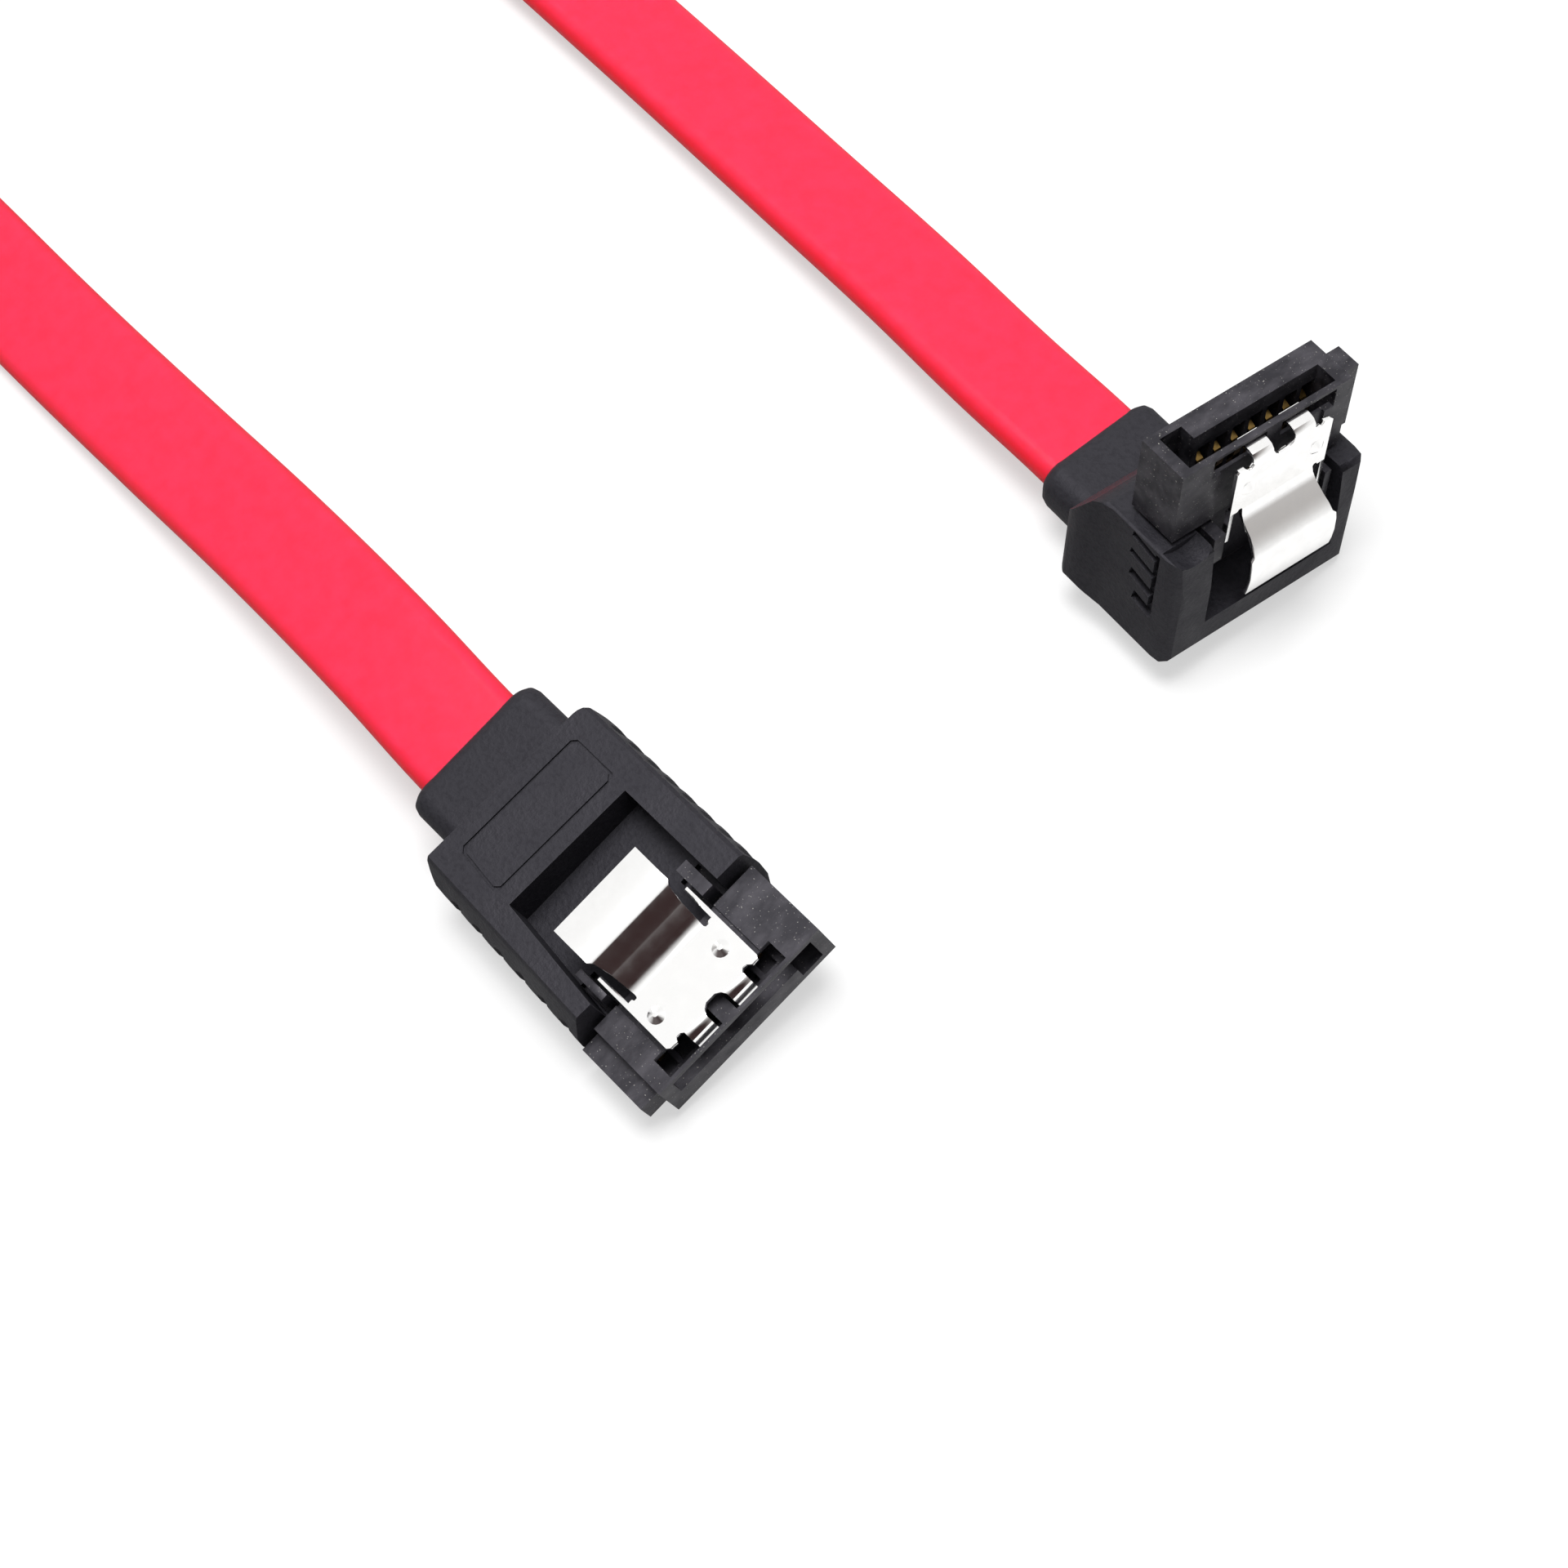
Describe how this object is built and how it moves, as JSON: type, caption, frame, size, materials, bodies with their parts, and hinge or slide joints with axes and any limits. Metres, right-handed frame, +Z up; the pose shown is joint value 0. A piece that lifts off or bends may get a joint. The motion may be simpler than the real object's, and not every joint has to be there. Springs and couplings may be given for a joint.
{
  "type": "sata data cable",
  "caption": "Short flat data cable with a straight connector at one end and a right-angled one at the other, each with a sprung metal latch.",
  "frame": {"origin": "on the table, under the middle of the two connectors' bounding box", "axes": "+X the way the straight connector is pushed in, +Y towards the angled connector, +Z up"},
  "size_m": [0.1464, 0.0561, 0.0165],
  "materials": {
    "housing": "semi-gloss black",
    "overmould": "matte black, finely grained",
    "latch": "bright",
    "contact": "gold flashed",
    "inner_mould": "natural",
    "jacket": "satin red",
    "foil": "bright foil",
    "insulation": "natural",
    "wire": "tinned"
  },
  "bodies": {
    "cable_set": {"straight_housing": "housing", "straight_contact_1": "contact", "straight_contact_2": "contact", "straight_contact_3": "contact", "straight_contact_4": "contact", "straight_contact_5": "contact", "straight_contact_6": "contact", "straight_contact_7": "contact", "straight_inner_mould": "inner_mould", "straight_overmould": "overmould", "angled_housing": "housing", "angled_contact_1": "contact", "angled_contact_2": "contact", "angled_contact_3": "contact", "angled_contact_4": "contact", "angled_contact_5": "contact", "angled_contact_6": "contact", "angled_contact_7": "contact", "angled_inner_mould": "inner_mould", "angled_overmould": "overmould", "cable_jacket": "jacket", "cable_foil_1": "foil", "cable_foil_2": "foil", "cable_core_insulation_1": "insulation", "cable_core_wire_1": "wire", "cable_core_insulation_2": "insulation", "cable_core_wire_2": "wire", "cable_core_insulation_3": "insulation", "cable_core_wire_3": "wire", "cable_core_insulation_4": "insulation", "cable_core_wire_4": "wire", "cable_drain_wire_1": "wire", "cable_drain_wire_2": "wire", "cable_drain_wire_3": "wire", "cable_drain_wire_4": "wire"},
    "straight_latch": {"straight_latch": "latch"},
    "angled_latch": {"angled_latch": "latch"}
  },
  "joints": [
    {"name": "straight_latch_press", "type": "hinge", "parent": "cable_set", "child": "straight_latch", "pos_m": [0.0104, -0.02087, 0.00551], "axis": [0, -0.9703, -0.2419], "range_deg": [0, 5], "stiffness_Nm_per_rad": 0.3},
    {"name": "angled_latch_press", "type": "hinge", "parent": "cable_set", "child": "angled_latch", "pos_m": [0.00912, 0.02051, 0.01482], "axis": [0.0722, 0.9836, -0.165], "range_deg": [0, 5], "stiffness_Nm_per_rad": 0.3}
  ]
}
